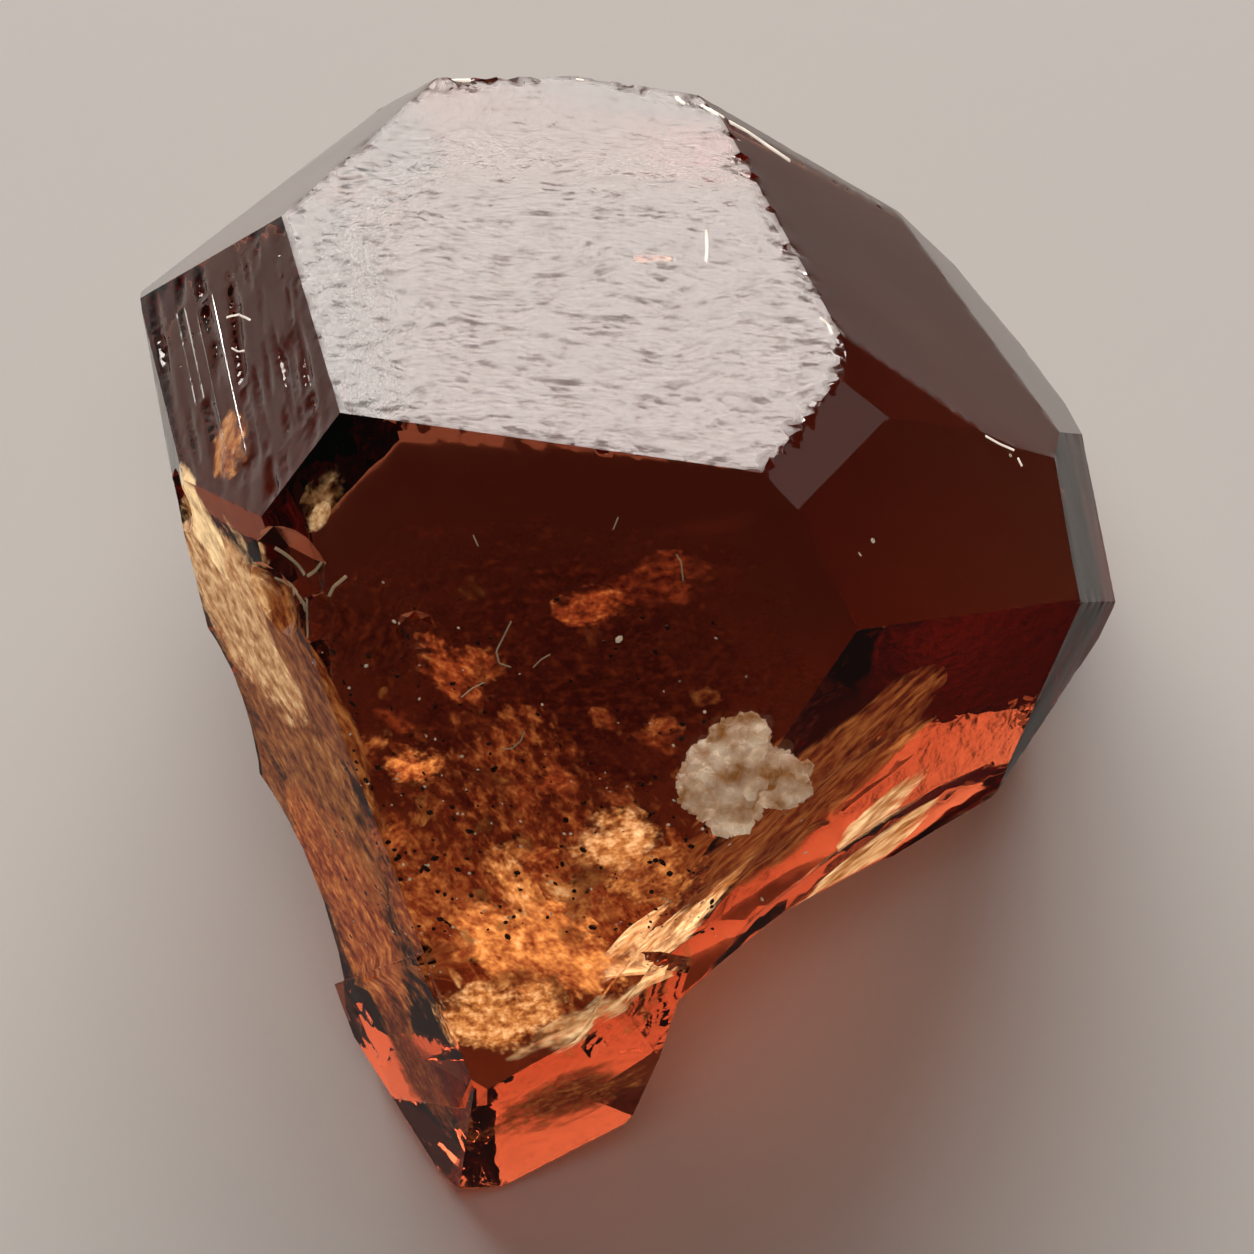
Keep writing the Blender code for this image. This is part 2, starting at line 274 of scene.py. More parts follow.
@dataclass(frozen=True)
class FractureFinish:
    """Healed fractures in topaz: thin films of tiny cavities, orange to gold.

    In the photograph they catch the light that comes through the crystal. Here they give off a little light
    of their own, which stands in for that.
    """

    name: str = "healed fractures in topaz"
    red: str = "#7E2414"
    deep: str = "#B04A22"
    ember: str = "#DC8A46"
    gold: str = "#F5D09A"
    strength: float = 1.0
    patch_per_mm: float = 1.3
    ragged: float = 2.4
    cover: float = 0.86

    def build(self) -> bpy.types.Material:
        """Build the material.

        Returns:
            The fractures' material.
        """
        material = bpy.data.materials.new(self.name)
        material.use_nodes = True
        tree = material.node_tree
        tree.nodes.clear()
        streak = add_node(tree, "ShaderNodeAttribute", {}, attribute_name="streak").outputs["Vector"]
        fade = add_node(tree, "ShaderNodeAttribute", {}, attribute_name="fade").outputs["Fac"]
        glow = add_node(tree, "ShaderNodeAttribute", {}, attribute_name="glow").outputs["Fac"]
        warmth = add_node(tree, "ShaderNodeAttribute", {}, attribute_name="warmth").outputs["Fac"]
        patches = add_node(tree, "ShaderNodeTexNoise", {
            "Vector": streak, "Scale": self.patch_per_mm, "Detail": 3.0, "Roughness": 0.68})
        spots = add_node(tree, "ShaderNodeTexNoise", {
            "Vector": streak, "Scale": self.patch_per_mm * 3.1, "Detail": 2.0, "Roughness": 0.7})
        cover = add_node(tree, "ShaderNodeMath", {0: patches.outputs["Fac"], 1: self.ragged, 2: fade},
                         operation="MULTIPLY_ADD")
        cover = add_node(tree, "ShaderNodeMath", {0: spots.outputs["Fac"], 1: 1.4, 2: cover.outputs[0]},
                         operation="MULTIPLY_ADD")
        cover = add_node(tree, "ShaderNodeMapRange", {
            "Value": cover.outputs[0], "From Min": 0.5 * self.ragged + 0.80,
            "From Max": 0.5 * self.ragged + 2.0,
            "To Max": self.cover}, interpolation_type="SMOOTHSTEP")
        tone = add_node(tree, "ShaderNodeMath", {0: spots.outputs["Fac"], 1: 0.9, 2: warmth},
                        operation="MULTIPLY_ADD")
        tone = add_node(tree, "ShaderNodeMath", {0: tone.outputs[0], 1: 0.45}, operation="SUBTRACT")
        colour = add_node(tree, "ShaderNodeValToRGB", {"Fac": tone.outputs[0]})
        ramp = colour.color_ramp
        ramp.elements[0].color = linear(self.red)
        ramp.elements[1].color = linear(self.gold)
        ramp.elements.new(0.3).color = linear(self.deep)
        ramp.elements.new(0.6).color = linear(self.ember)
        light = add_node(tree, "ShaderNodeMath", {0: spots.outputs["Fac"], 1: 1.6, 2: -0.1},
                         operation="MULTIPLY_ADD")
        light = add_node(tree, "ShaderNodeMath", {0: light.outputs[0], 1: glow}, operation="MULTIPLY")
        shine = add_node(tree, "ShaderNodeVectorMath",
                         {0: colour.outputs["Color"], "Scale": light.outputs[0]}, operation="SCALE")
        dull = add_node(tree, "ShaderNodeVectorMath", {0: colour.outputs["Color"], "Scale": 0.3},
                        operation="SCALE")
        body = add_node(tree, "ShaderNodeBsdfPrincipled", {
            "Base Color": dull.outputs[0], "Roughness": 0.7, "Emission Color": shine.outputs[0],
            "Emission Strength": self.strength, "Alpha": cover.outputs[0], "Specular IOR Level": 0.0},
            distribution="GGX")
        add_node(tree, "ShaderNodeOutputMaterial", {"Surface": body.outputs[0]})
        material.cycles.emission_sampling = "NONE"
        return material


@dataclass(frozen=True)
class SpeckFinish:
    """Tiny sealed crystals and dust: pale ones with a little painted glow of their own, or dark ones with
    none.
    """

    name: str
    colour: str
    glow: float

    def build(self) -> bpy.types.Material:
        """Build the material.

        Returns:
            The specks' material.
        """
        material = bpy.data.materials.new(self.name)
        material.use_nodes = True
        tree = material.node_tree
        tree.nodes.clear()
        place = add_node(tree, "ShaderNodeTexCoord", {}).outputs["Object"]
        change = add_node(tree, "ShaderNodeTexNoise", {"Vector": place, "Scale": 900.0, "Detail": 2.0})
        colour = add_node(tree, "ShaderNodeVectorMath", {0: linear(self.colour)[:3],
                                                         "Scale": change.outputs["Fac"]}, operation="SCALE")
        body = add_node(tree, "ShaderNodeBsdfPrincipled", {
            "Base Color": colour.outputs[0], "Roughness": 0.5, "Emission Color": colour.outputs[0],
            "Emission Strength": self.glow})
        add_node(tree, "ShaderNodeOutputMaterial", {"Surface": body.outputs[0]})
        material.cycles.emission_sampling = "NONE"
        return material


@dataclass(frozen=True)
class GrainFinish:
    """Clear to milky sugary grains, with a little painted glow of their own for the gold light behind them.
    """

    name: str = "clear sugary grains"
    colour: str = "#F6E4CC"
    ior: float = 1.54
    glow: float = 0.2

    def build(self) -> bpy.types.Material:
        """Build the material.

        Returns:
            The grains' material.
        """
        material = bpy.data.materials.new(self.name)
        material.use_nodes = True
        tree = material.node_tree
        tree.nodes.clear()
        place = add_node(tree, "ShaderNodeTexCoord", {}).outputs["Object"]
        cloud = add_node(tree, "ShaderNodeTexNoise", {"Vector": place, "Scale": 1600.0, "Detail": 4.0})
        colour = add_node(tree, "ShaderNodeValToRGB", {"Fac": cloud.outputs["Fac"]})
        colour.color_ramp.elements[0].color = linear("#A8743F")
        colour.color_ramp.elements[0].position = 0.32
        colour.color_ramp.elements[1].color = linear(self.colour)
        colour.color_ramp.elements[1].position = 0.7
        fine = add_node(tree, "ShaderNodeTexNoise", {"Vector": place, "Scale": 5200.0, "Detail": 4.0})
        bump = add_node(tree, "ShaderNodeBump", {"Strength": 0.6, "Distance": 0.05 * MM,
                                                 "Height": fine.outputs["Fac"]})
        body = add_node(tree, "ShaderNodeBsdfPrincipled", {
            "Base Color": colour.outputs["Color"], "Roughness": 0.18, "IOR": self.ior,
            "Transmission Weight": 0.5, "Normal": bump.outputs["Normal"],
            "Emission Color": colour.outputs["Color"], "Emission Strength": self.glow})
        add_node(tree, "ShaderNodeOutputMaterial", {"Surface": body.outputs[0]})
        return material


@dataclass
class Crystal:
    """The crystal's skin: a copy of the solid, cut into fine grids that take its etching, grooves and wear.

    Attributes:
        merge: Distance under which the solid's loose corners are one, in mm.
        flat_angle: Dihedral under which two triangles are one flat face, in degrees.
        same_angle: How far a flat face may turn from its named direction, in degrees.
        sharp_angle: Dihedral from which an edge is crisp, in degrees.
        least_area: Area from which a flat face counts as grown and not as broken, in square mm.
        chip_depth: Depth under which a break of the upper faces is a chip or a groove, in mm.
        groove_depth: The same for the grooves of the left face, in mm.
        heal: The share of its depth that such a chip is filled.
        sunk_flat: How far a flat lies under its face to be the bottom of a groove, in mm.
        healed_depth: Depth under which a healed break is part of the face, in mm.
        healed_lean: How squarely it has to look the face's way for that, one being fully.
        healed: The upper faces.
        steps: Grid spacing of each named face, in mm.
        common_step: Grid spacing of the other faces, in mm.
    """

    merge: float = 0.002
    flat_angle: float = 2.35
    same_angle: float = 2.0
    sharp_angle: float = 15.0
    least_area: float = 2.6
    common_step: float = 0.32
    chip_depth: float = 0.5
    groove_depth: float = 1.6
    heal: float = 0.97
    sunk_flat: float = 0.04
    healed_depth: float = 0.12
    healed_lean: float = 0.85
    healed: tuple[Face, ...] = (Face.CROWN, Face.GROOVED_LEFT, Face.SMALL_QUAD, Face.DARK_WEDGE,
                                Face.UPPER_RIGHT)
    steps: dict[Face, float] = field(default_factory=lambda: {
        Face.CROWN: 0.105,
        Face.GROOVED_LEFT: 0.13,
        Face.FRONT: 0.18,
        Face.SMALL_QUAD: 0.16,
        Face.LOWER_RIGHT: 0.2,
        Face.LEFT_FLANK: 0.22,
        Face.BASE: 1.2,
    })

    def build(self, finish: bpy.types.Material) -> bpy.types.Object:
        """Make the skin and dress it.

        Args:
            finish: The topaz material.

        Returns:
            The piece that stands for the solid.
        """
        bm = bmesh.new()
        bm.from_mesh(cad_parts[NODE].data)
        bmesh.ops.remove_doubles(bm, verts=bm.verts, dist=self.merge * MM)
        bmesh.ops.dissolve_limit(bm, angle_limit=math.radians(self.flat_angle), verts=bm.verts,
                                 edges=bm.edges, use_dissolve_boundaries=False)
        self.kind = bm.faces.layers.int.new("kind")
        self.mark(bm)
        self.fill_chips(bm)
        self.write_looks(bm)
        edges = self.sharp_points(bm)
        self.refine(bm)
        bmesh.ops.triangulate(bm, faces=bm.faces)
        self.relief(bm, edges)
        piece = finished("crystal_skin", bm, finish)
        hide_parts(NODE)
        return piece

    def mark(self, bm: bmesh.types.BMesh) -> None:
        """Write each face's kind on it.

        Args:
            bm: The crystal with one face for each flat of it.
        """
        names = list(Face)
        for face in bm.faces:
            near = max(names[:-2], key=lambda name: name.outward().dot(face.normal))
            if near.outward().dot(face.normal) < math.cos(math.radians(self.same_angle)):
                near = Face.GROWTH if face.calc_area() > self.least_area * MM * MM else Face.BROKEN
            face[self.kind] = names.index(near)

    def fill_chips(self, bm: bmesh.types.BMesh) -> None:
        """Heal the small chips and the growth grooves of the upper faces; their relief is made again, finer.

        Args:
            bm: The marked crystal.
        """
        names = list(Face)
        planes = {}
        for face in bm.faces:
            kind = names[face[self.kind]]
            if kind in self.healed and face.calc_area() > planes.get(kind, (0.0, 0.0))[0]:
                planes[kind] = (face.calc_area(), kind.outward().dot(face.calc_center_median()))
        broken = names.index(Face.BROKEN)
        for face in bm.faces:
            kind = names[face[self.kind]]
            if kind not in planes:
                continue
            sunk = planes[kind][1] - kind.outward().dot(face.calc_center_median())
            if sunk > self.sunk_flat * MM:
                face[self.kind] = broken
        moves = []
        for vert in bm.verts:
            chips = [face for face in vert.link_faces if face[self.kind] == broken]
            flats = {names[face[self.kind]] for face in vert.link_faces if face[self.kind] != broken}
            if not chips or len(flats) > 1:
                continue
            beside = {names[near[self.kind]] for chip in chips for edge in chip.edges
                      for near in edge.link_faces}
            depths = [(level - kind.outward().dot(vert.co), kind) for kind, (_, level) in planes.items()
                      if kind in beside and kind not in flats]
            if not depths:
                continue
            depth, kind = min(depths, key=lambda pair: pair[0])
            if not 0 < depth < (self.groove_depth if kind is Face.GROOVED_LEFT else self.chip_depth) * MM:
                continue
            way = kind.outward()
            if flats:
                flat = next(face.normal for face in vert.link_faces if face[self.kind] != broken)
                way = (way - flat * way.dot(flat)).normalized()
            moves.append((vert, way * (depth * self.heal / max(0.3, way.dot(kind.outward())))))
        for vert, move in moves:
            vert.co += move
        bm.normal_update()
        for face in bm.faces:
            if face[self.kind] != broken:
                continue
            for kind, (_, level) in planes.items():
                depth = max(abs(level - kind.outward().dot(vert.co)) for vert in face.verts)
                if depth < self.healed_depth * MM and face.normal.dot(kind.outward()) > self.healed_lean:
                    face[self.kind] = names.index(kind)

    def write_looks(self, bm: bmesh.types.BMesh) -> None:
        """Write on each face how it is dressed, and mark the crisp edges.

        Args:
            bm: The healed crystal.
        """
        etched = bm.faces.layers.float.new("etched")
        broken = bm.faces.layers.float.new("broken")
        names = list(Face)
        for face in bm.faces:
            face.smooth = True
            face[etched] = 1.0 if names[face[self.kind]] is Face.CROWN else 0.0
            face[broken] = 1.0 if names[face[self.kind]] is Face.BROKEN else 0.0
        for edge in bm.edges:
            edge.smooth = edge.calc_face_angle(0.0) < math.radians(self.sharp_angle)

    def sharp_points(self, bm: bmesh.types.BMesh) -> tuple[kdtree.KDTree, list[float]]:
        """Sample the crisp edges.

        Args:
            bm: The marked crystal.

        Returns:
            A tree of points along the edges, and how strongly each is worn.
        """
        spacing = 0.08 * MM
        points: list[Vector] = []
        wear: list[float] = []
        crown = list(Face).index(Face.CROWN)
        for edge in bm.edges:
            if edge.smooth:
                continue
            start, end = (vert.co for vert in edge.verts)
            count = max(1, round((end - start).length / spacing))
            strong = 1.0 if crown in [face[self.kind] for face in edge.link_faces] else 0.35
            for step in range(count + 1):
                points.append(start.lerp(end, step / count))
                wear.append(strong)
        tree = kdtree.KDTree(len(points))
        for index, point in enumerate(points):
            tree.insert(point, index)
        tree.balance()
        return tree, wear

    def refine(self, bm: bmesh.types.BMesh) -> None:
        """Cut the whole skin fine: the breaks by halving their long edges, the flat faces into grids.

        Args:
            bm: The marked crystal.
        """
        broken = list(Face).index(Face.BROKEN)
        for _ in range(3):
            long_edges = [edge for edge in bm.edges if edge.calc_length() > 2 * self.common_step * MM
                          and all(face[self.kind] == broken for face in edge.link_faces)]
            bmesh.ops.subdivide_edges(bm, edges=long_edges, cuts=1, use_grid_fill=True)
            bmesh.ops.triangulate(bm, faces=[face for face in bm.faces if face[self.kind] == broken])
        flats = [face for face in bm.faces if face[self.kind] != broken]
        for face in sorted(flats, key=lambda flat: flat.calc_area() / self.step(flat) ** 2):
            self.grid(bm, face)

    def step(self, face: bmesh.types.BMFace) -> float:
        """Return a flat face's grid spacing in metres."""
        return self.steps.get(list(Face)[face[self.kind]], self.common_step) * MM

    def axes(self, normal: Vector) -> tuple[Vector, Vector]:
        """Return a flat face's level direction and the one up its slope."""
        level = Vector((0, 0, 1)).cross(normal)
        level = level.normalized() if level.length > 0.05 else Vector((1, 0, 0))
        return level, normal.cross(level).normalized()

    def grid(self, bm: bmesh.types.BMesh, face: bmesh.types.BMFace) -> None:
        """Cut one flat face into a regular grid.

        Args:
            bm: The crystal.
            face: The flat face to cut.
        """
        step = self.step(face)
        pieces = [face]
        for axis in self.axes(face.normal.copy()):
            ahead, done = pieces, []
            places = [axis.dot(vert.co) for part in pieces for vert in part.verts]
            for index in range(math.ceil(min(places) / step), math.floor(max(places) / step) + 1):
                plane = axis * (index * step)
                geom = set(ahead)
                for part in ahead:
                    geom.update(part.edges)
                    geom.update(part.verts)
                cut = bmesh.ops.bisect_plane(bm, geom=list(geom), dist=0.0005 * MM, plane_co=plane,
                                             plane_no=axis)
                parts = [part for part in cut["geom"] if isinstance(part, bmesh.types.BMFace)]
                ahead = []
                for part in parts:
                    side = axis.dot(part.calc_center_median() - plane)
                    (ahead if side > 0 else done).append(part)
                if not ahead:
                    break
            pieces = done + ahead

    def relief(self, bm: bmesh.types.BMesh, edges: tuple[kdtree.KDTree, list[float]]) -> None:
        """Move the skin's points in and out: etching, grooves, ripples and chipped edges.

        Args:
            bm: The gridded crystal.
            edges: The points along the crisp edges, and how strongly each is worn.
        """
        tree, wear = edges
        worn = bm.verts.layers.float.new("worn")
        bm.normal_update()
        names = list(Face)
        moves = []
        for vert in bm.verts:
            _, index, distance = tree.find(vert.co)
            away = distance / MM
            faces = {names[face[self.kind]] for face in vert.link_faces}
            point = vert.co / MM
            chip = self.chip(point, wear[index]) * (1 - smoothstep(away / 0.45))
            height = 0.0
            if len(faces) == 1:
                height = self.height(faces.pop(), point) * smoothstep(away / 0.35)
            near_edge = wear[index] * (1 - smoothstep(away / 0.16))
            vert[worn] = near_edge * smoothstep(noise.noise(point * 1.7) + 0.55)
            moves.append((vert, vert.normal * (height - chip) * MM))
        for vert, move in moves:
            vert.co += move

    def chip(self, point: Vector, strength: float) -> float:
        """Return how far a crisp edge is chipped back at a point, in mm."""
        broad = max(0.0, noise.noise(point * 1.3) - 0.05) * 0.05
        fine = max(0.0, noise.noise(point * 4.1 + Vector((3, 7, 1))) - 0.1) * 0.06
        return strength * (broad + fine)

    def height(self, face: Face, point: Vector) -> float:
        """Return the relief of one face at a point.

        Args:
            face: The face's kind.
            point: The place, in mm.

        Returns:
            The height above the flat face, in mm.
        """
        level, slope = self.axes(face.outward())
        across, up = level.dot(point), slope.dot(point)
        if face is Face.CROWN:
            warp = noise.noise(point * 0.5) * 1.9
            wrinkles = 1 - 2.4 * abs(noise.noise(Vector((across * 0.9 + warp, up * 2.1 + warp * 1.4, 0.0))))
            fine = 1 - 2.4 * abs(noise.noise(Vector((across * 1.7 - warp, up * 3.6 + warp, 5.0))))
            lower = 0.2 + 0.8 * smoothstep((up + 6.5) / 7.0)
            curls = noise.noise(point * 2.6) + 0.6 * noise.noise(point * 5.0)
            ripple = lower * (0.013 * wrinkles + 0.011 * fine + 0.012 * curls)
            return ripple + 0.015 * noise.noise(point * 0.3)
        if face is Face.GROOVED_LEFT:
            lean, along = 0.871 * up - 0.491 * across, 0.871 * across + 0.491 * up
            slots = max(0.0, noise.noise(Vector((lean * 2.3, along * 0.30, 2.0))) - 0.10)
            cuts = max(0.0, noise.noise(Vector((lean * 4.6, along * 0.55, 7.0))) - 0.16)
            rills = noise.noise(Vector((lean * 5.2, along * 0.5, 9.0)))
            return 0.014 * rills - 0.24 * slots - 0.16 * cuts + 0.012 * noise.noise(point * 0.9)
        if face is Face.BROKEN:
            return 0.05 * noise.noise(point * 1.4) + 0.03 * noise.noise(point * 3.3)
        if face is Face.BASE:
            return 0.0
        return 0.008 * noise.noise(point * 0.45) + 0.003 * noise.noise(point * 1.9)


@dataclass(frozen=True)
class Film:
    """One healed fracture, a thin bent film under the surface.

    Attributes:
        pixel: Where the photograph shows its middle.
        half: Half its length and half its width, in mm.
        lean: The turn of its length from the picture's level, anticlockwise, in degrees.
        depth: How far it lies under the surface, in mm.
        glow: How brightly it glows: painted light that stands in for the light it catches.
        warmth: From 0, deep orange, to 1, pale gold.
        stretch: How many times longer than wide its streaks are.
        closed: How far its ragged cover closes to a soft even one.
    """

    pixel: tuple[float, float]
    half: tuple[float, float]
    lean: float
    depth: float
    glow: float
    warmth: float
    stretch: float = 1.4
    closed: float = 0.0


@dataclass
class HealedFractures:
    """The films of healed fractures, in one mesh."""

    inside: Inside
    thickness: float = 0.02
    bend: float = 0.25
    margin: float = 0.14
    # Each film's glow is painted light for the light that it catches, mostly brighter in the thin lower part.
    films: tuple[Film, ...] = (
        Film((410, 770), (0.85, 0.60), 15, 0.7, 1.70, 0.42),
        Film((452, 676), (1.30, 0.90), -35, 0.9, 0.95, 0.28),
        Film((590, 615), (1.10, 0.60), 5, 1.0, 0.95, 0.25),
        Film((652, 592), (1.60, 0.80), 15, 1.2, 0.50, 0.12),
        Film((513, 888), (1.35, 0.55), -61, 0.5, 1.50, 0.55),
        Film((615, 848), (1.30, 1.00), 20, 0.6, 1.50, 0.65),
        Film((650, 880), (1.30, 0.90), 30, 0.8, 1.20, 0.50),
        Film((540, 955), (2.40, 1.40), -25, 0.7, 1.70, 0.48, 1.4, 0.6),
        Film((440, 925), (1.80, 1.30), -40, 0.9, 0.80, 0.35),
        Film((530, 890), (4.80, 4.20), -60, 1.5, 0.60, 0.32),
        Film((560, 700), (6.40, 4.60), 10, 2.2, 0.20, 0.05),
        Film((370, 640), (1.80, 1.60), 60, 1.6, 0.20, 0.10),
        Film((316, 522), (0.55, 0.26), 60, 0.35, 0.80, 0.85),
        Film((322, 500), (0.95, 0.50), 60, 0.5, 0.30, 0.70),
        Film((915, 745), (1.10, 0.36), 36, 0.9, 1.00, 0.50, 3.0),
        Film((888, 815), (1.50, 0.60), 36, 0.7, 1.40, 0.80, 3.0, 0.4),
        Film((865, 862), (2.60, 0.70), 30, 0.3, 1.40, 0.75, 4.0, 1.2),
        Film((760, 850), (1.50, 0.40), 36, 0.9, 0.60, 0.40, 4.0),
        Film((665, 948), (2.20, 1.05), 38, 0.7, 2.20, 0.80, 2.4, 0.5),
        Film((715, 898), (1.80, 0.60), 36, 0.8, 1.10, 0.55, 3.0),
        Film((820, 800), (4.60, 2.10), 36, 1.2, 0.50, 0.38, 3.0, 1.2),
        Film((580, 1027), (2.20, 0.42), 30, 0.4, 1.10, 0.80, 3.0),
        Film((497, 1022), (2.00, 1.05), 8, 0.4, 1.50, 0.62, 1.2, 0.2),
        Film((410, 1070), (2.40, 1.30), -60, 0.7, 0.36, 0.30, 1.4, 0.2),
        Film((562, 1110), (2.40, 1.40), 25, 0.8, 0.36, 0.32, 1.4, 0.2),
        Film((236, 610), (3.40, 2.60), -65, 0.6, 0.95, 0.80, 1.5, 0.9),
        Film((290, 750), (4.60, 2.60), -65, 0.7, 0.50, 0.50, 1.7, 0.9),
        Film((304, 680), (3.20, 1.00), -65, 0.3, 0.45, 0.42, 2.0, 1.2),
        Film((262, 768), (1.80, 0.80), -60, 0.25, 0.50, 0.45, 1.6, 1.2),
        Film((352, 915), (3.80, 2.60), -65, 0.7, 0.90, 0.38, 1.7, 0.9),
        Film((200, 525), (1.60, 0.90), -70, 0.3, 1.50, 1.05, 2.0, 1.2),
        Film((236, 440), (1.30, 0.80), 80, 0.3, 0.70, 0.55, 1.6, 0.5),
        Film((650, 255), (0.60, 0.22), 5, 0.25, 0.80, 0.40),
            )
    flecks: int = 70
    seed: int = 21

    def strewn(self) -> tuple[Film, ...]:
        """Return flecks strewn under the front face, more and with brighter painted glow towards its lower
        end.
        """
        dice = random.Random(self.seed)
        flecks = []
        for _ in range(self.flecks):
            down = math.sqrt(dice.random())
            middle = 560 - 60 * down
            pixel = (middle + dice.uniform(-1, 1) * (230 - 130 * down), 560 + 430 * down)
            length = dice.uniform(0.2, 0.75)
            flecks.append(Film(pixel, (length, length * dice.uniform(0.35, 0.8)), dice.uniform(-70, 70),
                               dice.uniform(0.3, 1.6), dice.uniform(0.15, 0.4) + 0.9 * down * dice.random(),
                               dice.uniform(0.05, 0.35) + 0.3 * down))
        return tuple(flecks)

    def build(self, finish: bpy.types.Material) -> None:
        """Make the films.

        Args:
            finish: The fractures' material.
        """
        bm = bmesh.new()
        layers = {name: bm.verts.layers.float.new(name) for name in ("fade", "glow", "warmth")}
        streak = bm.verts.layers.float_vector.new("streak")
        for number, film in enumerate(self.films + self.strewn()):
            point, normal = self.inside.seen(film.pixel)
            along = Matrix.Rotation(math.radians(film.lean), 3, self.inside.sight.back) @ Vector((1, 0, 0))
            along = (along - normal * along.dot(normal)).normalized()
            across = normal.cross(along)
            centre = point - normal * film.depth
            ball = bmesh.ops.create_icosphere(bm, subdivisions=4 if film.half[0] > 1.4 else 2, radius=1.0)
            for vert in ball["verts"]:
                u, v, w = vert.co
                reach = u * u + v * v
                reach += 0.55 * noise.noise(Vector((u * 1.4, v * 1.4, number * 2.3)))
                vert[layers["fade"]] = (1.0 - reach) * (1.0 + film.closed)
                vert[layers["glow"]] = film.glow
                vert[layers["warmth"]] = film.warmth
                vert[streak] = Vector((u * film.half[0] / film.stretch, v * film.half[1], number * 3.7))
                place = centre + along * u * film.half[0] + across * v * film.half[1]
                wave = self.bend * noise.noise(place * 0.8) + self.thickness * w
                vert.co = self.inside.keep(place + normal * wave, self.margin + self.thickness * (1 - w)) * MM
        for face in bm.faces:
            face.smooth = True
        finished("healed_fractures", bm, finish)


@dataclass
class Specks:
    """Tiny grains sealed just under the front and lower faces.

    Attributes:
        inside: The inside of the crystal.
        name: The piece's name.
        count: How many there are.
        sizes: Their least and largest radius, in mm.
        seed: The seed of their places.
        area: Left, top, right and bottom of where the photograph shows them, in pixels.
        extra: Single specks: pixel and radius in mm.
    """

    inside: Inside
    name: str
    count: int
    sizes: tuple[float, float]
    seed: int
    area: tuple[float, float, float, float] = (300, 560, 820, 980)
    extra: tuple[tuple[tuple[float, float], float], ...] = ()

    def build(self, finish: bpy.types.Material) -> None:
        """Make the specks.

        Args:
            finish: The specks' material.
        """
        dice = random.Random(self.seed)
        left, top, right, bottom = self.area
        places = [((dice.uniform(left, right), dice.triangular(top, bottom, bottom)),
                   dice.uniform(*self.sizes)) for _ in range(self.count)]
        bm = bmesh.new()
        for pixel, radius in places + list(self.extra):
            point, normal = self.inside.seen(pixel)
            if point is None:
                continue
            depth = dice.uniform(0.1, 0.9)
            centre = self.inside.keep(point - normal * depth, 0.12)
            shape = Matrix.Rotation(dice.uniform(0, math.tau), 4, Vector((0.3, 0.5, 0.8)).normalized())
            shape = shape @ Matrix.Diagonal((dice.uniform(0.6, 1.7), 1.0, dice.uniform(0.5, 1.0), 1.0))
            bmesh.ops.create_icosphere(bm, subdivisions=1, radius=radius * MM,
                                       matrix=Matrix.Translation(centre * MM) @ shape)
        finished(self.name, bm, finish)


@dataclass
class Fibres:
    """Fine pale fibres and fracture rims, each a thin round thread just under the surface, glowing with
    painted light.

    Attributes:
        inside: The inside of the crystal.
        name: The piece's name.
        sunk: How far the threads lie under the surface, in mm; below nought they stand out of it.
        threads: For each thread its radius in mm and the pixels that it passes.
    """

    inside: Inside
    name: str = "fibres"
    sunk: float = 0.06
    threads: tuple[tuple[float, tuple[tuple[float, float], ...]], ...] = (
        (0.022, ((511, 622), (505, 634), (496, 652), (499, 664), (511, 668))),
        (0.022, ((676, 555), (681, 563), (683, 582))),
        (0.020, ((484, 683), (472, 689), (461, 698))),
        (0.018, ((550, 655), (541, 660), (533, 668))),
        (0.020, ((524, 732), (521, 741), (512, 749), (502, 750))),
        (0.018, ((473, 536), (478, 547))),
        (0.018, ((618, 518), (613, 530))),
        (0.050, ((275, 549), (286, 556), (297, 566), (303, 575))),
        (0.045, ((274, 579), (288, 586), (300, 599), (306, 612))),
        (0.045, ((321, 562), (311, 573), (306, 576))),
        (0.045, ((346, 577), (333, 588), (327, 598))),
        (0.025, ((307, 600), (307, 622), (305, 640))),
    )

    def build(self, finish: bpy.types.Material) -> None:
        """Make the threads.

        Args:
            finish: Their material.
        """
        curve = bpy.data.curves.new("threads", "CURVE")
        curve.dimensions = "3D"
        curve.bevel_depth = 1.0
        curve.bevel_resolution = 1
        curve.use_fill_caps = True
        for radius, pixels in self.threads:
            seen = [pair for pair in map(self.inside.seen, pixels) if pair[0]]
            if len(seen) < 2:
                continue
            spline = curve.splines.new("NURBS")
            spline.order_u = 3
            spline.use_endpoint_u = True
            spline.resolution_u = 6
            spline.points.add(len(seen) - 1)
            for point, (place, normal) in zip(spline.points, seen):
                place -= normal * (radius + self.sunk)
                if self.sunk > 0:
                    place = self.inside.keep(place, radius + 0.05)
                point.co = (*(place * MM), 1.0)
                point.radius = radius * MM
        holder = bpy.data.objects.new("threads", curve)
        bpy.context.scene.collection.objects.link(holder)
        graph = bpy.context.evaluated_depsgraph_get()
        bm = bmesh.new()
        bm.from_mesh(holder.evaluated_get(graph).to_mesh())
        bpy.data.objects.remove(holder)
        bmesh.ops.remove_doubles(bm, verts=bm.verts, dist=0.0005 * MM)
        for face in bm.faces:
            face.smooth = True
        finished(self.name, bm, finish)


